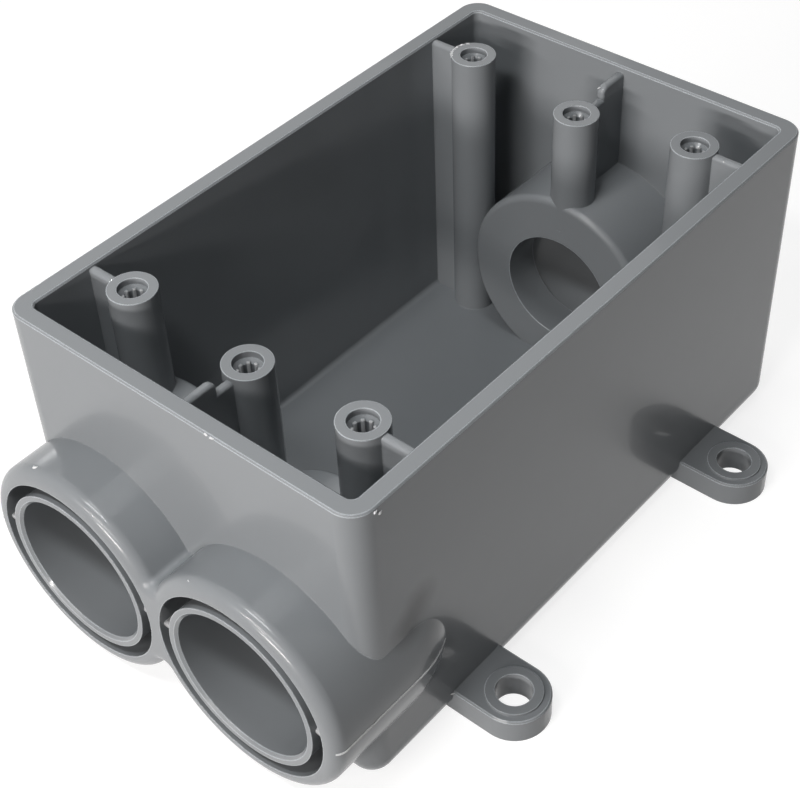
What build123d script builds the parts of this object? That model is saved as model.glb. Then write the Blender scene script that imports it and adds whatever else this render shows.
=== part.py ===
# Weatherproof box: a single-gang moulded box for surface wiring, with two conduit
# sockets at one end, one at the other, four mounting lugs and six screw bosses.
# The back face lies on z = 0 round the origin, the open mouth faces +Z, the long
# side runs along Y, and the end with two sockets faces -Y. All sizes in millimetres.
from build123d import *
import os

# Box shell
box_length = 116.5
box_width = 72.3
box_depth = 61.3
wall = 3.2
floor_wall = 3.6
corner_radius = 4.0
inner_corner_radius = 1.3
floor_corner_radius = 1.0
rim_chamfer = 0.3

# Conduit sockets: the sizes of one socket, and where the three stand
socket_bore_diameter = 26.9
socket_depth = 22.5
stop_hole_diameter = 22.4
sleeve_wall = 1.5
sleeve_chamfer = 0.5
groove_width = 2.1
groove_depth = 18.0
shell_wall = 2.85
shell_nose_radius = 2.2
shell_end_radius = 1.2
socket_projection = 9.35
socket_length = 30.0
socket_pitch = 36.5
socket_height = 20.85
crease_radius = 1.2
flank_start = 17.6
flank_end = 36.2
flank_end_radius = 17.0
web_width = 1.2
web_recess = 1.7

# Screw bosses and the webs that tie them to the walls
boss_diameter = 8.2
device_screw_pitch = 83.34
device_boss_drop = 3.0
cover_screw_pitch_x = 47.5
cover_screw_pitch_y = 84.9
cover_boss_drop = 0.2
lead_in_diameter = 4.9
lead_in_depth = 1.2
pilot_diameter = 3.5
pilot_depth = 15.0
boss_web_width = 1.6
boss_web_round = 0.6
cover_web_drop = 0.5
device_web_high_drop = 1.3
device_web_low_drop = 3.8
device_web_high_length = 6.3
device_web_nose_radius = 1.3

# Mounting lugs
lug_thickness = 4.8
lug_half_width = 6.2
lug_hole_diameter = 6.3
lug_hole_reach = 7.65
lug_pitch = 66.1
lug_shift = 0.4
lug_edge_chamfer = 0.3
lug_ring_diameter = 9.7
lug_ring_height = 0.4

# Values that follow from the sizes above
half_length = box_length / 2
half_width = box_width / 2
sleeve_radius = socket_bore_diameter / 2 + sleeve_wall
groove_radius = sleeve_radius + groove_width
shell_radius = groove_radius + shell_wall
socket_face = half_length + socket_projection
web_start = (lead_in_diameter + boss_diameter) / 4
floor_foot = floor_wall / 2
socket_foot = socket_height + (socket_bore_diameter / 2 + shell_radius) / 2 - shell_wall
lug_hole_x = half_width + lug_hole_reach


def box_outside():
    """The plain outside of the box, rounded at its upright corners and back edges."""
    block = extrude(RectangleRounded(box_width, box_length, corner_radius), box_depth)
    block = fillet(block.faces().sort_by(Axis.Z)[0].edges(), corner_radius)
    return chamfer(block.faces().sort_by(Axis.Z)[-1].edges(), rim_chamfer)


def cavity():
    """The space inside, with a small round along the floor's edges."""
    mouth = RectangleRounded(box_width - 2 * wall, box_length - 2 * wall, inner_corner_radius)
    space = extrude(Pos(0, 0, floor_wall) * mouth, box_depth - floor_wall)
    return fillet(space.faces().sort_by(Axis.Z)[0].edges(), floor_corner_radius)


def end_place(direction):
    """Place a shape drawn along +Z from z = 0 so that it runs in from one end's socket faces."""
    turn = -90 if direction < 0 else 90
    return Pos(0, direction * socket_face, socket_height) * Rot(turn, 0, 0)


def shells(offsets, length, end_radius):
    """The round shells of one end, as a bar along +Z: shells that meet have a small fillet between them."""
    outline = Sketch() + [Pos(x, 0) * Circle(shell_radius) for x in offsets]
    creases = outline.vertices().filter_by(lambda point: abs(point.X) < crease_radius)
    if len(offsets) > 1:
        outline = fillet(creases, crease_radius)
    bar = extrude(outline, length)
    bar = fillet(bar.faces().sort_by(Axis.Z)[0].edges(), shell_nose_radius)
    return fillet(bar.faces().sort_by(Axis.Z)[-1].edges(), end_radius) if end_radius else bar


def flank(offset):
    """The back part of a shell, which bulges through the side wall and runs out in a long round."""
    length = flank_end - flank_start
    bar = Pos(offset, 0, flank_start + length / 2) * Cylinder(shell_radius, length)
    return fillet(bar.faces().sort_by(Axis.Z)[-1].edges(), flank_end_radius)


def socket_hollow():
    """What one socket leaves open: the bore, its stop hole and the groove round the sleeve."""
    bore_radius = socket_bore_diameter / 2
    stop_cut = socket_length + shell_end_radius
    bore = Pos(0, 0, socket_depth / 2) * Cylinder(bore_radius, socket_depth)
    mouth = Pos(0, 0, sleeve_chamfer / 2) * Cone(bore_radius + sleeve_chamfer, bore_radius, sleeve_chamfer)
    stop = Pos(0, 0, stop_cut / 2) * Cylinder(stop_hole_diameter / 2, stop_cut)
    groove = Pos(0, 0, groove_depth / 2) * Cylinder(groove_radius, groove_depth)
    groove -= Pos(0, 0, groove_depth / 2) * Cylinder(sleeve_radius, groove_depth)
    web_length = groove_depth - web_recess
    webs = Pos(0, 0, web_recess + web_length / 2) * Box(2 * groove_radius, web_width, web_length)
    return bore + mouth + stop + (groove - webs)


def screw_hole(top):
    """A pilot hole with a wider lead-in, sunk from the boss top downwards."""
    lead = Pos(0, 0, top - lead_in_depth / 2) * Cylinder(lead_in_diameter / 2, lead_in_depth)
    taper_depth = (lead_in_diameter - pilot_diameter) / 2
    taper_middle = top - lead_in_depth - taper_depth / 2
    taper = Pos(0, 0, taper_middle) * Cone(pilot_diameter / 2, lead_in_diameter / 2, taper_depth)
    pilot = Pos(0, 0, top - pilot_depth / 2) * Cylinder(pilot_diameter / 2, pilot_depth)
    return lead + taper + pilot


def boss(top, foot):
    """A round post from the given foot height up to its top."""
    return Pos(0, 0, (top + foot) / 2) * Cylinder(boss_diameter / 2, top - foot)


def cover_web(side, end):
    """The web from a corner boss out to the side wall, rounded along its top."""
    top = box_depth - cover_web_drop
    height = top - floor_foot
    inner_x = cover_screw_pitch_x / 2 + web_start
    length = half_width - wall / 2 - inner_x
    web = Box(length, boss_web_width, height)
    web = fillet(web.faces().sort_by(Axis.Z)[-1].edges().filter_by(Axis.X), boss_web_round)
    centre_x = side * (inner_x + length / 2)
    return Pos(centre_x, end * cover_screw_pitch_y / 2, top - height / 2) * web


def device_web(end):
    """The stepped web from a middle boss out to the end wall, rounded along its top."""
    inner_y = device_screw_pitch / 2 + web_start
    outer_y = half_length - wall / 2
    step_y = half_length - wall - device_web_high_length
    high = box_depth - device_web_high_drop
    low = box_depth - device_web_low_drop
    side_view = Polyline((inner_y, floor_foot), (outer_y, floor_foot), (outer_y, high), (step_y, high),
                         (step_y, low), (inner_y, low), close=True)
    web = extrude(make_face(Plane.YZ * side_view), boss_web_width / 2, both=True)
    nose = web.edges().filter_by(Axis.X).filter_by(lambda edge: abs(edge.center().Y - step_y) < boss_web_round)
    web = fillet(nose.sort_by(Axis.Z)[-1], device_web_nose_radius)
    tops = web.faces().filter_by(Axis.Z).sort_by(Axis.Z)[1:]
    web = fillet([edge for face in tops for edge in face.edges().filter_by(Axis.Y)], boss_web_round)
    return web if end > 0 else mirror(web, Plane.XZ)


def lug(side, y):
    """A mounting lug, flush with the back and round at its end, with a low raised ring round its hole."""
    inner_x = half_width - corner_radius - wall
    root = Line((inner_x, -lug_half_width), (inner_x, lug_half_width))
    outline = make_hull([root, *(Pos(lug_hole_x, 0) * Circle(lug_half_width)).edges()])
    plate = extrude(outline, lug_thickness)
    upper = plate.faces().sort_by(Axis.Z)[-1].edges()
    plate = chamfer(upper.filter_by(lambda edge: edge.center().X > half_width - wall), lug_edge_chamfer)
    ring_top = lug_thickness + lug_ring_height
    ring = Pos(lug_hole_x, 0, ring_top / 2) * Cylinder(lug_ring_diameter / 2, ring_top)
    hole = Pos(lug_hole_x, 0, ring_top / 2) * Cylinder(lug_hole_diameter / 2, ring_top)
    plate = plate + ring - hole
    return Pos(0, y, 0) * (plate if side > 0 else mirror(plate, Plane.YZ))


def box_body():
    """The whole moulding: shell, sockets, bosses, webs and lugs as one solid."""
    near_offsets = (-socket_pitch / 2, socket_pitch / 2)
    far_offsets = (0,)
    ends = ((-1, near_offsets), (1, far_offsets))
    inside = cavity()
    body = box_outside()
    for direction, offsets in ends:
        body += end_place(direction) * shells(offsets, flank_start, 0)
    for offset_x in near_offsets:
        body += end_place(-1) * flank(offset_x)
    for side in (-1, 1):
        for end in (-1, 1):
            body += lug(side, lug_shift + end * lug_pitch / 2)
    body -= inside
    rim = body.faces().sort_by(Axis.Z)[-1]
    body = chamfer(rim.inner_wires()[0].edges(), rim_chamfer)
    for direction, offsets in ends:
        body += inside & (end_place(direction) * shells(offsets, socket_length, shell_end_radius))

    cover_top = box_depth - cover_boss_drop
    device_top = box_depth - device_boss_drop
    holes = []
    for end in (-1, 1):
        device_place = Pos(0, end * device_screw_pitch / 2, 0)
        body += device_place * boss(device_top, socket_foot if end > 0 else floor_foot)
        body += device_web(end)
        holes.append(device_place * screw_hole(device_top))
        for side in (-1, 1):
            cover_place = Pos(side * cover_screw_pitch_x / 2, end * cover_screw_pitch_y / 2, 0)
            body += cover_place * boss(cover_top, floor_foot if end > 0 else socket_foot)
            body += cover_web(side, end)
            holes.append(cover_place * screw_hole(cover_top))
    for direction, offsets in ends:
        for offset_x in offsets:
            body -= end_place(direction) * Pos(offset_x, 0, 0) * socket_hollow()
    for hole in holes:
        body -= hole
    return body


os.makedirs("parts", exist_ok=True)
export_step(box_body(), "parts/box_body.step")
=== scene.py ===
# %% [markdown]
# A weatherproof box in grey moulded plastic, dressed for its picture. The real box is one
# moulding, and the solid already has its true shape. So this script adds what a solid lacks: the
# satin skin of moulded plastic, the thin lines and crumbs that the mould left, and soft studio
# light. The lines and crumbs could be painted on, but paint looks flat when the light or the view
# changes, so they are modelled. Some colours carry painted light: the lighter grey of the ribs, of
# the torn tips and of the edges is painted light, on the tips and edges partly with wear; the
# near-white parting lines and two crumbs on the socket noses are painted highlights; and two dark
# patches on the right wall are painted shade.

# %% Load the frame
import math
import random

import bmesh
import bpy
from mathutils import Matrix, Vector


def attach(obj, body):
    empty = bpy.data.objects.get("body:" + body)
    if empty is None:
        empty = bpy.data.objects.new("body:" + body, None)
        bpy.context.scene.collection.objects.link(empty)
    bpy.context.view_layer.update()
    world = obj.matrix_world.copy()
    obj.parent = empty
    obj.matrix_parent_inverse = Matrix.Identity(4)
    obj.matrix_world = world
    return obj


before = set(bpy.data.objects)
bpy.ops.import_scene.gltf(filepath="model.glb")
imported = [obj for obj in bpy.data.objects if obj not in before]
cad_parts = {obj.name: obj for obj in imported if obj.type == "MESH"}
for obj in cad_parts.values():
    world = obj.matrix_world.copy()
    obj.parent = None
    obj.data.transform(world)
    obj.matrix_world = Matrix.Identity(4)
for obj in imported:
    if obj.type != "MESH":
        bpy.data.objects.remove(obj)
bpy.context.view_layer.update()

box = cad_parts["box_body"]

# %% [markdown]
# The camera stands where the photographer stood: off the near right corner, looking down into the
# box. It could be placed by eye, but a small error would shift every edge against the photograph.
# So its place, its small roll and its lens were worked out from the straight edges of the box.

# %% Camera
MM = 0.001
box_depth = 61.3 * MM
view_azimuth = math.radians(42.161)
view_elevation = math.radians(43.103)
view_roll = math.radians(-2.746)
camera_place = Vector((137.89 * MM, -160.51 * MM, box_depth + 158.106 * MM))
focal_pixels = 1625.63
picture_width = 800
sensor_width = 36.0
nearest_seen, farthest_seen = 0.01, 20

back = Vector((math.sin(view_azimuth) * math.cos(view_elevation),
               -math.cos(view_azimuth) * math.cos(view_elevation),
               math.sin(view_elevation)))
level_right = Vector((0, 0, 1)).cross(back).normalized()
level_up = back.cross(level_right)
right = level_right * math.cos(view_roll) + level_up * math.sin(view_roll)
up = level_up * math.cos(view_roll) - level_right * math.sin(view_roll)
turn = Matrix((right, up, back)).transposed().to_4x4()

camera_data = bpy.data.cameras.new("camera")
camera_data.sensor_width = sensor_width
camera_data.lens = focal_pixels * sensor_width / picture_width
camera_data.clip_start, camera_data.clip_end = nearest_seen, farthest_seen
camera = bpy.data.objects.new("camera", camera_data)
camera.matrix_world = Matrix.Translation(camera_place) @ turn
bpy.context.scene.collection.objects.link(camera)
bpy.context.scene.camera = camera
print("lens", round(camera_data.lens, 2), "mm")

# %% [markdown]
# Every material here is a tree of nodes. The trees could be wired link by link, but that hides
# what they do. So a few helpers add a node with all that feeds it in one line.

# %% Helpers for materials
def node(tree, kind, **values):
    """Adds a node. Each input, by its name, takes a plain value or the output of another node."""
    made = tree.nodes.new(kind)
    for name, value in values.items():
        feed(tree, value, made.inputs[name.replace("_", " ")])
    return made


def feed(tree, value, socket):
    """Links an output to a socket, or sets the socket to a plain value."""
    if isinstance(value, bpy.types.NodeSocket):
        tree.links.new(value, socket)
    else:
        socket.default_value = value


def math_node(tree, operation, *values):
    """The result of a Math node."""
    made = tree.nodes.new("ShaderNodeMath")
    made.operation = operation
    for place, value in enumerate(values):
        feed(tree, value, made.inputs[place])
    return made.outputs[0]


def vector_node(tree, operation, first, second):
    """A Vector Math node that joins two vectors."""
    made = tree.nodes.new("ShaderNodeVectorMath")
    made.operation = operation
    feed(tree, first, made.inputs[0])
    feed(tree, second, made.inputs[1])
    return made


def scaled(tree, colour, factor):
    """A colour made lighter or darker by a factor."""
    made = tree.nodes.new("ShaderNodeVectorMath")
    made.operation = "SCALE"
    feed(tree, colour, made.inputs[0])
    feed(tree, factor, made.inputs["Scale"])
    return made.outputs["Vector"]


def clear_material(name):
    """A material with an empty tree and an output."""
    material = bpy.data.materials.new(name)
    material.use_nodes = True
    material.node_tree.nodes.clear()
    return material, material.node_tree, material.node_tree.nodes.new("ShaderNodeOutputMaterial")


# %% [markdown]
# The box stands on a pale sweep of paper. A white paper would do on a bench, but it would also
# throw so much light on the sides of the box that they lose their own tone. So the paint is a mid
# grey that takes the shadow of the box, and a glow lifts it to the white of the page. Only the
# camera, the gloss and the glass see the glow: it lights nothing.

# %% Rays that see the background
def seen_rays(tree):
    """One for the rays that show the background: the camera's, the gloss's and the glass's."""
    path = tree.nodes.new("ShaderNodeLightPath")
    total = path.outputs["Is Camera Ray"]
    for name in ("Is Glossy Ray", "Is Transmission Ray"):
        total = math_node(tree, "MAXIMUM", total, path.outputs[name])
    return total


# %% Floor
floor_paint = 0.3
floor_roughness = 0.9
floor_glow = 0.8
floor_size = 6
white = (1, 1, 1, 1)

floor_material, tree, output = clear_material("white_floor")
glow = math_node(tree, "MULTIPLY", seen_rays(tree), floor_glow)
paint = node(tree, "ShaderNodeBsdfPrincipled", Roughness=floor_roughness,
             Base_Color=(floor_paint, floor_paint, floor_paint, 1),
             Emission_Color=white, Emission_Strength=glow)
feed(tree, paint.outputs["BSDF"], output.inputs["Surface"])

bpy.ops.object.select_all(action="DESELECT")
bpy.ops.mesh.primitive_plane_add(size=floor_size, location=(0, 0, 0))
floor = bpy.context.object
floor.name = "floor"
floor.data.materials.append(floor_material)
print("floor", floor_size, "m wide, paint", floor_paint, "glow", floor_glow)

# %% [markdown]
# The room stands for all the walls that a studio has. It could be bright, but then the inside of
# the box would lose its deep shadows. So it gives only a faint fill, and where the camera or the
# gloss looks past the floor, it shows the same plain white as the page.

# %% Room
room_fill = 0.012
page_white = 1.0

world = bpy.data.worlds.new("studio")
bpy.context.scene.world = world
world.use_nodes = True
tree = world.node_tree
tree.nodes.clear()
output = tree.nodes.new("ShaderNodeOutputWorld")
fill = node(tree, "ShaderNodeBackground", Color=white, Strength=room_fill)
page = node(tree, "ShaderNodeBackground", Color=white, Strength=page_white)
choose = node(tree, "ShaderNodeMixShader", Fac=seen_rays(tree))
feed(tree, fill.outputs["Background"], choose.inputs[1])
feed(tree, page.outputs["Background"], choose.inputs[2])
feed(tree, choose.outputs["Shader"], output.inputs["Surface"])
print("room fill", room_fill, "page", page_white)

# %% [markdown]
# Seven lamps light the box. One big lamp would be simpler, but each part of the picture asks for
# its own light. Two long, low lamps in front brighten the near wall and draw the streaks on the
# socket rims. Two small lamps close above them reach down inside. One overhead and one behind
# lift the rim and the tops of the lugs, and a tiny one low on the left puts a spark on each
# socket. Their strengths were found by comparing the tone of each wall with the photograph.

# %% Lights
def softbox(name, azimuth, elevation, distance, width, height, power, colour):
    """An area lamp facing the box. Azimuth 0 is in front of the near end, negative to the left."""
    a, e = math.radians(azimuth), math.radians(elevation)
    away = Vector((math.sin(a) * math.cos(e), -math.cos(a) * math.cos(e), math.sin(e)))
    data = bpy.data.lights.new(name, "AREA")
    data.shape = "RECTANGLE"
    data.size, data.size_y, data.energy = width, height, power
    data.color = colour
    lamp = bpy.data.objects.new(name, data)
    lamp.location = away * distance + Vector((0, 0, box_depth / 2))
    lamp.rotation_euler = away.to_track_quat("Z", "Y").to_euler()
    bpy.context.scene.collection.objects.link(lamp)
    print(name, power, "W at", distance, "m")


warm = (1.0, 0.95, 0.92)
plain = (1.0, 1.0, 1.0)
softbox("low_light", azimuth=4, elevation=9, distance=1.2,
        width=0.5, height=0.08, power=8.8, colour=warm)
softbox("streak_light", azimuth=-12, elevation=25, distance=1.2,
        width=0.5, height=0.01, power=3.0, colour=warm)
softbox("near_light", azimuth=8, elevation=28, distance=0.4,
        width=0.2, height=0.04, power=0.36, colour=warm)
softbox("high_light", azimuth=4, elevation=60, distance=0.35,
        width=0.15, height=0.03, power=0.56, colour=plain)
softbox("top_light", azimuth=0, elevation=86, distance=1.0,
        width=0.2, height=0.2, power=1.6, colour=plain)
softbox("back_light", azimuth=234, elevation=48, distance=1.4,
        width=1.0, height=0.8, power=3.5, colour=plain)
softbox("spark_light", azimuth=-111, elevation=4, distance=1.2,
        width=0.03, height=0.03, power=0.6, colour=plain)

# %% [markdown]
# The skin of a moulded part is never quite even: a soft mottle drifts through its colour and its
# gloss, and a fine grain from the mould's steel breaks up the highlights. A photograph of plastic
# could be wrapped round the part, but it would stretch and repeat. Noise that is worked out at
# each point of the part does neither. It sits in one node group, so that every plastic in the
# scene shares it and only its numbers differ.

# %% A new node group
def new_group(name, inputs, outputs):
    """A shader node group with named sockets, each a name, a kind and, for inputs, a start."""
    group = bpy.data.node_groups.new(name, "ShaderNodeTree")
    for title, kind, value in inputs:
        socket = group.interface.new_socket(title, in_out="INPUT", socket_type="NodeSocket" + kind)
        if value is not None:
            socket.default_value = value
    for title, kind in outputs:
        group.interface.new_socket(title, in_out="OUTPUT", socket_type="NodeSocket" + kind)
    given, result = group.nodes.new("NodeGroupInput"), group.nodes.new("NodeGroupOutput")
    return group, given.outputs, result.inputs


# %% Moulded skin
dark_grey = (0.2, 0.2, 0.2, 1)
skin_group, given, result = new_group(
    "moulded_skin",
    [("Colour", "Color", dark_grey), ("Mottle", "Float", 0.08), ("Mottle Scale", "Float", 110.0),
     ("Roughness", "Float", 0.3), ("Gloss Drift", "Float", 0.02), ("Grain Scale", "Float", 2500.0)],
    [("Colour", "Color"), ("Roughness", "Float"), ("Grain", "Float")])
spot_on_part = skin_group.nodes.new("ShaderNodeTexCoord").outputs["Object"]
clouds = node(skin_group, "ShaderNodeTexNoise", Vector=spot_on_part, Scale=given["Mottle Scale"],
              Detail=2.0, Roughness=0.5)
grain = node(skin_group, "ShaderNodeTexNoise", Vector=spot_on_part, Scale=given["Grain Scale"],
             Detail=2.0, Roughness=0.6)
drift = math_node(skin_group, "SUBTRACT", clouds.outputs["Fac"], 0.5)
shade = math_node(skin_group, "MULTIPLY_ADD", drift, given["Mottle"], 1.0)
gloss = math_node(skin_group, "MULTIPLY_ADD", drift, given["Gloss Drift"], given["Roughness"])
feed(skin_group, scaled(skin_group, given["Colour"], shade), result["Colour"])
feed(skin_group, gloss, result["Roughness"])
feed(skin_group, grain.outputs["Fac"], result["Grain"])
print("group", skin_group.name, len(skin_group.nodes), "nodes")

# %% [markdown]
# No moulded edge is perfectly sharp, and handling polishes it further. Real rounds on every edge
# would cost many faces, so a Bevel node gives each material a normal that is only shaded round.
# This group compares it with the true normal: where they part there is an edge. An inner corner
# has edges too, but little open air before it, so the group leaves it out. On the outer edges the
# plastic turns glossier and lighter. The lighter colour is partly wear and partly a painted
# highlight: it stands in for the glints along the sharp rims.

# %% Rubbed edges and painted glints
least_open, fully_open = 0.75, 0.95
edge_wear_and_glint_group, given, result = new_group(
    "rubbed_edges_and_painted_glints",
    [("Rounded Normal", "Vector", None), ("Openness", "Float", 1.0), ("Colour", "Color", dark_grey),
     ("Roughness", "Float", 0.3), ("Wear And Glint", "Float", 0.5), ("Glossier", "Float", 0.1),
     ("Reach", "Float", 8.0)],
    [("Colour", "Color"), ("Roughness", "Float")])
true_normal = edge_wear_and_glint_group.nodes.new("ShaderNodeNewGeometry").outputs["Normal"]
agree = vector_node(edge_wear_and_glint_group, "DOT_PRODUCT", given["Rounded Normal"], true_normal)
part = math_node(edge_wear_and_glint_group, "SUBTRACT", 1.0, agree.outputs["Value"])
open_air = node(edge_wear_and_glint_group, "ShaderNodeMapRange", Value=given["Openness"], From_Min=least_open,
                From_Max=fully_open)
outward = math_node(edge_wear_and_glint_group, "MULTIPLY", part, open_air.outputs["Result"])
strong = math_node(edge_wear_and_glint_group, "MULTIPLY", outward, given["Reach"])
edge = node(edge_wear_and_glint_group, "ShaderNodeClamp", Value=strong).outputs["Result"]
# The lighter edge colour is partly wear and partly a painted highlight for the glints on sharp
# edges.
brighter = math_node(edge_wear_and_glint_group, "MULTIPLY_ADD", edge, given["Wear And Glint"], 1.0)
shine = math_node(edge_wear_and_glint_group, "MULTIPLY", edge, given["Glossier"])
feed(edge_wear_and_glint_group, scaled(edge_wear_and_glint_group, given["Colour"], brighter), result["Colour"])
feed(edge_wear_and_glint_group, math_node(edge_wear_and_glint_group, "SUBTRACT", given["Roughness"], shine), result["Roughness"])
print("group", edge_wear_and_glint_group.name, len(edge_wear_and_glint_group.nodes), "nodes")

# %% [markdown]
# A soft dark patch lies on a plain wall, and it is painted shade. It could be painted on a picture
# of the wall, but the wall has none. So a patch of painted shade is a blurred ball in the part's
# own space: this group says how deep inside the ball a point of the surface lies, and the colour is
# darkened by it.

# %% Painted shade
painted_shade_group, given, result = new_group(
    "painted_soft_shade",
    [("Colour", "Color", dark_grey), ("Centre", "Vector", (0, 0, 0)), ("Size", "Float", 0.004),
     ("Darkness", "Float", 0.2)],
    [("Colour", "Color")])
spot_on_part = painted_shade_group.nodes.new("ShaderNodeTexCoord").outputs["Object"]
apart = vector_node(painted_shade_group, "DISTANCE", spot_on_part, given["Centre"])
blur = node(painted_shade_group, "ShaderNodeMapRange", Value=apart.outputs["Value"], From_Max=given["Size"],
            To_Min=1.0, To_Max=0.0)
blur.interpolation_type = "SMOOTHSTEP"
depth = math_node(painted_shade_group, "MULTIPLY", blur.outputs["Result"], given["Darkness"])
left_over = math_node(painted_shade_group, "SUBTRACT", 1.0, depth)
feed(painted_shade_group, scaled(painted_shade_group, given["Colour"], left_over), result["Colour"])
print("group", painted_shade_group.name, len(painted_shade_group.nodes), "nodes")

# %% [markdown]
# The plastic itself is a mid grey with a satin skin. One plain colour with one roughness would
# look like a toy, so the three groups feed its colour and its roughness. The shader, the rounded
# normal and the look for open air stay in the material. A thin clear coat stands for the skin
# that the polished mould pressed on it: it keeps the highlights crisp over the softer gloss
# below.

# %% How a plastic is made
edge_samples = 4
open_air_reach = 3
grain_strength, grain_height = 0.08, 0.02 * MM
plastic_ior = 1.5
plastic_specular = 0.22
coat_weight, coat_roughness = 0.2, 0.04


def plastic(name, colour, roughness, mottle, wear_and_glint, round_edge, painted_shades=()):
    """A moulded plastic with the shared skin, patches of painted shade and edges that show wear and
    painted glints.
    """
    material, tree, output = clear_material(name)
    skin = tree.nodes.new("ShaderNodeGroup")
    skin.node_tree = skin_group
    for title, value in (("Colour", (*colour, 1)), ("Roughness", roughness), ("Mottle", mottle)):
        feed(tree, value, skin.inputs[title])
    shade = skin.outputs["Colour"]
    # Each patch darkens the colour where it lies: painted shade.
    for centre, size, darkness in painted_shades:
        shade_patch = tree.nodes.new("ShaderNodeGroup")
        shade_patch.node_tree = painted_shade_group
        for title, value in (("Colour", shade), ("Centre", Vector(centre) * MM),
                             ("Size", size * MM), ("Darkness", darkness)):
            feed(tree, value, shade_patch.inputs[title])
        shade = shade_patch.outputs["Colour"]
    rounding = node(tree, "ShaderNodeBevel", Radius=round_edge)
    nearby = node(tree, "ShaderNodeAmbientOcclusion", Distance=open_air_reach * round_edge)
    rounding.samples = nearby.samples = edge_samples
    edges = tree.nodes.new("ShaderNodeGroup")
    edges.node_tree = edge_wear_and_glint_group
    for title, value in (("Rounded Normal", rounding.outputs["Normal"]),
                         ("Openness", nearby.outputs["AO"]), ("Colour", shade),
                         ("Roughness", skin.outputs["Roughness"]), ("Wear And Glint", wear_and_glint)):
        feed(tree, value, edges.inputs[title])
    bump = node(tree, "ShaderNodeBump", Strength=grain_strength, Distance=grain_height,
                Height=skin.outputs["Grain"], Normal=rounding.outputs["Normal"])
    shader = node(tree, "ShaderNodeBsdfPrincipled", Base_Color=edges.outputs["Colour"],
                  Roughness=edges.outputs["Roughness"], Normal=bump.outputs["Normal"],
                  IOR=plastic_ior, Specular_IOR_Level=plastic_specular,
                  Coat_Weight=coat_weight, Coat_Roughness=coat_roughness)
    feed(tree, shader.outputs["BSDF"], output.inputs["Surface"])
    print("material", name, len(tree.nodes), "nodes")
    return material


# %% [markdown]
# The box is moulded in one grey. The ribs and the torn tips get a lighter grey, which makes them
# look lit against the dark bore and groove: painted light, on the torn tips partly whitened torn
# plastic as well. The flash is squeezed thin and has no skin, so it gets a grey that is almost
# white; on the parting lines and on the two crumbs on the socket noses that grey is a painted
# highlight. Two patches of painted shade lie on the right wall, just above the bulge of the near
# socket.

# %% The three plastics
box_edge, trim_edge = 0.3 * MM, 0.05 * MM
# Two dark patches of painted shade on the right wall, each a centre, a size and a darkness.
painted_shades = [((36.15, -49.0, 31.5), 5.0, 0.7), ((36.15, -46.0, 34.5), 5.0, 0.7)]
grey_pvc = plastic("grey_pvc", (0.187, 0.201, 0.212), roughness=0.26, mottle=0.05, wear_and_glint=1.8,
                   round_edge=box_edge, painted_shades=painted_shades)
# A lighter copy of the grey for ribs and torn tips: painted light, on the tips partly whitened torn
# plastic.
worn_and_lit_pvc = plastic("worn_and_lit_pvc", (0.34, 0.35, 0.36), roughness=0.27, mottle=0.15, wear_and_glint=0.6,
                   round_edge=trim_edge)
# Almost white for thin flash; on the parting lines and the nose crumbs it is a painted highlight.
flash_and_glint_pvc = plastic("flash_and_glint_pvc", (0.60, 0.61, 0.62), roughness=0.28, mottle=0.10, wear_and_glint=0.3,
                    round_edge=trim_edge)
box.data.materials.clear()
box.data.materials.append(grey_pvc)

# %% [markdown]
# Small things are left on every moulding: ribs that a screw cuts its thread in, the line where
# the two halves of the mould met, torn tips and crumbs of flash. Each could be pushed out of the
# box's own mesh, but that mesh is the solid's and stays as it is. So each is a piece of its own.
# It starts as a block in its own place and is shaped in edit mode, and its object stays at the
# origin.

# %% Helpers to start and pick
X, Y, Z = 0, 1, 2
mostly = 0.9  # how much of a direction has to lie along an axis
near = 0.01  # how close two places are to count as one, in millimetres


def block(name, centre, size):
    """A block at its size and place, in millimetres, in edit mode with nothing selected."""
    if bpy.context.object and bpy.context.object.mode == "EDIT":
        bpy.ops.object.mode_set(mode="OBJECT")
    bpy.ops.object.select_all(action="DESELECT")
    bpy.ops.mesh.primitive_cube_add(size=1, location=Vector(centre) * MM, scale=Vector(size) * MM)
    bpy.context.object.name = name
    bpy.ops.object.transform_apply(location=True, rotation=True, scale=True)
    bpy.ops.object.mode_set(mode="EDIT")
    bpy.ops.mesh.select_all(action="DESELECT")
    return bpy.context.object


def pick(piece, kind, test):
    """Selects only the faces or edges that pass a test."""
    bpy.ops.mesh.select_all(action="DESELECT")
    bpy.ops.mesh.select_mode(type=kind)
    mesh = bmesh.from_edit_mesh(piece.data)
    for part in mesh.faces if kind == "FACE" else mesh.edges:
        if test(part):
            part.select_set(True)
    mesh.select_flush_mode()
    bmesh.update_edit_mesh(piece.data)


def middle(edge):
    """The middle of an edge, in millimetres."""
    return (edge.verts[0].co + edge.verts[1].co) / 2 / MM


def along(edge, axis):
    """Whether an edge runs along an axis."""
    run = (edge.verts[1].co - edge.verts[0].co).normalized()
    return abs(run[axis]) > mostly


# %% Helpers to finish and copy
weld = 0.002 * MM


def finish_piece(piece, material, sharpest=35):
    """Closes the mesh, turns its normals outwards, smooths it and fixes it to the part."""
    bpy.ops.mesh.select_all(action="SELECT")
    bpy.ops.mesh.remove_doubles(threshold=weld)
    bpy.ops.mesh.normals_make_consistent(inside=False)
    bpy.ops.object.mode_set(mode="OBJECT")
    bpy.ops.object.shade_smooth_by_angle(angle=math.radians(sharpest))
    piece.data.materials.clear()
    piece.data.materials.append(material)
    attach(piece, "root")
    places = [v.co / MM for v in piece.data.vertices]
    low = [round(min(p[i] for p in places), 1) for i in (X, Y, Z)]
    high = [round(max(p[i] for p in places), 1) for i in (X, Y, Z)]
    print(piece.name, len(piece.data.polygons), "faces from", low, "to", high)


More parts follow.
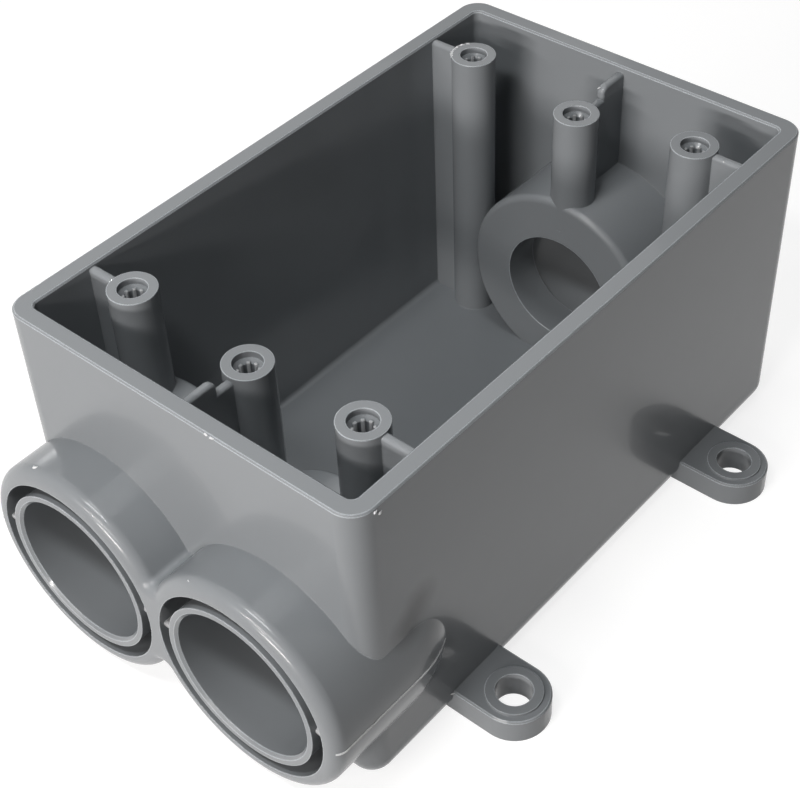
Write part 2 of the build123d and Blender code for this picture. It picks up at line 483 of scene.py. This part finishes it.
def copy_piece(piece, name):
    """A copy with its own mesh, in edit mode and all selected, ready to be moved."""
    bpy.ops.object.select_all(action="DESELECT")
    piece.select_set(True)
    bpy.context.view_layer.objects.active = piece
    bpy.ops.object.duplicate(linked=False)
    copy = bpy.context.object
    copy.name = name
    bpy.ops.object.mode_set(mode="EDIT")
    bpy.ops.mesh.select_all(action="SELECT")
    return copy


# %% [markdown]
# Each screw post has a pilot hole with ribs down its wall. A thread-cutting screw has to cut only
# the ribs, which keeps the post from splitting. The ribs could be cut from one star-shaped bar,
# but one rib is easier to shape well: it is a block whose inner edges and top are rounded, and
# spin sets eight of them round the hole. The five other posts get copies.

# %% Where the posts stand
device_y, device_top = 83.34 / 2, 58.3
cover_x, cover_y, cover_top = 47.5 / 2, 84.9 / 2, 61.1
posts = {"device_near": (0, -device_y, device_top), "device_far": (0, device_y, device_top),
         "cover_near_left": (-cover_x, -cover_y, cover_top),
         "cover_near_right": (cover_x, -cover_y, cover_top),
         "cover_far_left": (-cover_x, cover_y, cover_top),
         "cover_far_right": (cover_x, cover_y, cover_top)}
print(len(posts), "posts")

# %% The ribs of one post
pilot_radius = 1.75
rib_count = 8
rib_height, rib_width, rib_length = 0.38, 0.62, 13.35
rib_sink = 0.06
rib_top_drop = 1.4
rib_round, rib_top_round = 0.2, 0.14
round_steps = 3

first = posts["device_near"]
rib_top = first[Z] - rib_top_drop
rib_outside = pilot_radius + rib_sink
rib_inside = pilot_radius - rib_height
ribs = block("screw_ribs.device_near",
             ((rib_outside + rib_inside) / 2, first[Y], rib_top - rib_length / 2),
             (rib_outside - rib_inside, rib_width, rib_length))
pick(ribs, "EDGE", lambda e: abs(middle(e).x - rib_inside) < near and along(e, Z))
bpy.ops.mesh.bevel(offset=rib_round * MM, segments=round_steps, affect="EDGES")
pick(ribs, "EDGE", lambda e: abs(middle(e).z - rib_top) < near
     and middle(e).x < rib_outside - 2 * near)
bpy.ops.mesh.bevel(offset=rib_top_round * MM, segments=round_steps, affect="EDGES")
bpy.ops.mesh.select_all(action="SELECT")
bpy.ops.mesh.spin(steps=rib_count - 1, dupli=True,
                  angle=2 * math.pi * (rib_count - 1) / rib_count,
                  center=(0, first[Y] * MM, 0), axis=(0, 0, 1))
# The lighter grey of the ribs is painted light: it makes them look lit in the dark bore.
finish_piece(ribs, worn_and_lit_pvc)

# %% The ribs of the other posts
for post, spot in posts.items():
    if post != "device_near":
        copy = copy_piece(ribs, "screw_ribs." + post)
        bpy.ops.transform.translate(value=(Vector(spot) - Vector(first)) * MM)
        finish_piece(copy, worn_and_lit_pvc)

# %% [markdown]
# The mould opened along the middle of the sockets, and it left a fine raised line down each side
# of the hubs. A curve with a thin round section would follow the hub too, but the real line is
# flat and sharp. So it starts as a thin block along the straight part. Its end face is spun round
# the long curve where the hub runs out into the wall, and the other end round the nose. The line
# on the left is a mirrored copy. Both take the near-white grey of the flash, which paints a
# highlight along the whole line.

# %% The right parting line
shell_side = 38.15
line_z = 20.5
line_height, line_width = 0.15, 0.26
line_sink = 0.12
line_round = 0.06
straight_start, straight_end = -65.4, -48.4
flank_radius, flank_turn, flank_steps = 17, -27, 10
nose_radius, nose_turn, nose_steps = 2.2, 50, 6
shortest_run = 0.1 * MM
line_smooth = 40

line_x = shell_side + (line_height - line_sink) / 2
bead = block("parting_line.right", (line_x, (straight_start + straight_end) / 2, line_z),
             (line_height + line_sink, straight_end - straight_start, line_width))
pick(bead, "FACE", lambda f: f.normal.y > mostly)
bpy.ops.mesh.spin(steps=flank_steps, angle=math.radians(flank_turn),
                  center=((shell_side - flank_radius) * MM, straight_end * MM, 0), axis=(0, 0, 1))
pick(bead, "FACE", lambda f: f.normal.y < -mostly)
bpy.ops.mesh.spin(steps=nose_steps, angle=math.radians(nose_turn),
                  center=((shell_side - nose_radius) * MM, straight_start * MM, 0), axis=(0, 0, 1))


def is_ridge(edge):
    """Whether an edge runs along the outside of the line, behind the nose."""
    m = middle(edge)
    reach = Vector((m.x - shell_side + flank_radius, max(0, m.y - straight_end))).length
    return (abs(abs(m.z - line_z) - line_width / 2) < near and reach > flank_radius + 2 * near
            and m.y > straight_start and not along(edge, Z)
            and abs(edge.verts[0].co.y - edge.verts[1].co.y) > shortest_run)


pick(bead, "EDGE", is_ridge)
bpy.ops.mesh.bevel(offset=line_round * MM, segments=2, affect="EDGES")
# The near-white grey of the line is a painted highlight: it looks lit along its whole length.
finish_piece(bead, flash_and_glint_pvc, line_smooth)

# %% The left parting line
left_bead = copy_piece(bead, "parting_line.left")
bpy.ops.transform.mirror(constraint_axis=(True, False, False), orient_type="GLOBAL",
                         center_override=(0, 0, 0))
finish_piece(left_bead, flash_and_glint_pvc, line_smooth)

# %% [markdown]
# In the groove round each sleeve, the two webs end in a torn tip where the mould's pins met. A
# clean block would look machined, and a sculpted lump would be too soft. So a tip is a block
# whose front face is drawn out and made smaller, with its edges rounded, and its points are then
# moved a little at random. The four tips are torn each in its own way, so each is made afresh.

# %% Web tips
random.seed(4)
socket_x = 36.5 / 2
groove_middle = 16.0
tip_y, tip_z = -65.6, 22.1
tip_size = (2.3, 1.4, 1.0)
tip_draw, tip_taper, tip_round, tip_wear = 0.45, (0.9, 1, 0.75), 0.12, 0.04
tip_front = tip_y - tip_size[Y] / 2 + 10 * near

for hub, hub_x in (("left", -socket_x), ("right", socket_x)):
    for side_name, side in (("outer", -1), ("inner", 1)):
        tip_spot = (hub_x + side * groove_middle, tip_y, tip_z)
        tip = block(f"web_tip.{hub}_{side_name}", tip_spot, tip_size)
        pick(tip, "FACE", lambda f: f.normal.y < -mostly)
        bpy.ops.mesh.extrude_region_move(TRANSFORM_OT_translate={"value": (0, -tip_draw * MM, 0)})
        bpy.ops.transform.resize(value=tip_taper)
        pick(tip, "EDGE", lambda e: middle(e).y < tip_front)
        bpy.ops.mesh.bevel(offset=tip_round * MM, segments=2, affect="EDGES")
        bpy.ops.mesh.select_all(action="SELECT")
        bpy.ops.transform.vertex_random(offset=tip_wear * MM, seed=random.randint(1, 99))
        # The lighter grey of each tip is partly whitened torn plastic and partly painted light on
        # its lit front edge.
        finish_piece(tip, worn_and_lit_pvc)

# %% [markdown]
# Flash is plastic that was squeezed out where the mould closed, and a crumb of it often stays on.
# It is thin, so it looks almost white. A crumb could be a plain speck of colour, but the real
# ones catch the light and throw a small shadow. So each is a block drawn out to a bent tail, with
# its edges cut off and its points moved at random, and it is turned in its place.

# %% Crumbs of flash
crumb_shape = (1.0, 0.6, 0.5)
tail_length, tail_rise, tail_taper = 0.6, 0.15, (1, 0.5, 0.5)
crumb_round, crumb_wear = 0.12, 0.08


def crumb(name, spot, size, turn, seed):
    """A small bent crumb of near-white plastic at a spot. Its lengths are shares of its size in
    millimetres.
    """
    piece = block(name, spot, [size * share for share in crumb_shape])
    pick(piece, "FACE", lambda f: f.normal.x > mostly)
    tail = (size * tail_length * MM, 0, size * tail_rise * MM)
    bpy.ops.mesh.extrude_region_move(TRANSFORM_OT_translate={"value": tail})
    bpy.ops.transform.resize(value=tail_taper)
    bpy.ops.mesh.select_all(action="SELECT")
    bpy.ops.mesh.bevel(offset=size * crumb_round * MM, segments=1, affect="EDGES")
    bpy.ops.mesh.select_all(action="SELECT")
    bpy.ops.transform.vertex_random(offset=size * crumb_wear * MM, seed=seed)
    bpy.ops.transform.rotate(value=math.radians(turn), orient_axis="Z",
                             center_override=Vector(spot) * MM)
    finish_piece(piece, flash_and_glint_pvc, sharpest=50)


# %% Where the crumbs lie
crumb("flash.rim_1", (8.2, -58.2, 61.05), size=0.5, turn=10, seed=3)
crumb("flash.rim_2", (9.35, -58.2, 61.0), size=0.55, turn=-15, seed=5)
crumb("flash.corner_1", (36.15, -54.1, 60.6), size=0.6, turn=60, seed=7)
crumb("flash.corner_2", (36.15, -53.2, 59.7), size=0.6, turn=60, seed=9)
# The two crumbs on the socket noses sit where the small lamp on the left puts its spark: their
# near-white grey is a painted highlight.
crumb("painted_highlight.nose_left", (-25.35, -66.0, 39.35), size=0.7, turn=-30, seed=13)
crumb("painted_highlight.nose_right", (9.38, -66.6, 38.25), size=0.3, turn=20, seed=17)
crumb("flash.lug_root", (36.2, -39.2, 4.6), size=0.4, turn=-60, seed=11)
crumb("flash.far_web", (-0.3, 49.0, 59.7), size=0.45, turn=100, seed=19)

# %% [markdown]
# A curl of flash clings to the edge of the far left post. A row of crumbs would leave gaps, and
# the real curl is one strip. So it is a thin block on the post's edge whose end face is spun
# about a quarter of the way round, and a random move of its points then tears it.

# %% Burr on a post
post_x, post_y, post_top = posts["cover_far_left"]
burr_radius = 4.0
burr_start = math.radians(140)
burr_turn = math.radians(-85)
burr_steps = 22
burr_size = (0.42, 0.2, 0.24)
burr_drop = 0.1
burr_wear = 0.22
post_middle = (post_x * MM, post_y * MM, 0)

burr = block("flash.post_burr", (post_x + burr_radius, post_y, post_top - burr_drop), burr_size)
bpy.ops.mesh.select_all(action="SELECT")
bpy.ops.transform.rotate(value=-burr_start, orient_axis="Z", center_override=post_middle)
end_normal = Vector((-math.sin(burr_start), math.cos(burr_start), 0))
pick(burr, "FACE", lambda f: f.normal.dot(end_normal) > mostly)
bpy.ops.mesh.spin(steps=burr_steps, angle=burr_turn, center=post_middle, axis=(0, 0, 1))
bpy.ops.mesh.select_all(action="SELECT")
bpy.ops.transform.vertex_random(offset=burr_wear * MM, seed=21)
finish_piece(burr, flash_and_glint_pvc, sharpest=30)

# %% [markdown]
# A film look would bend the greys, so the picture keeps the plain Standard view, in which each
# tone comes out as it was mixed.

# %% Finish
bpy.context.scene.view_settings.view_transform = "Standard"
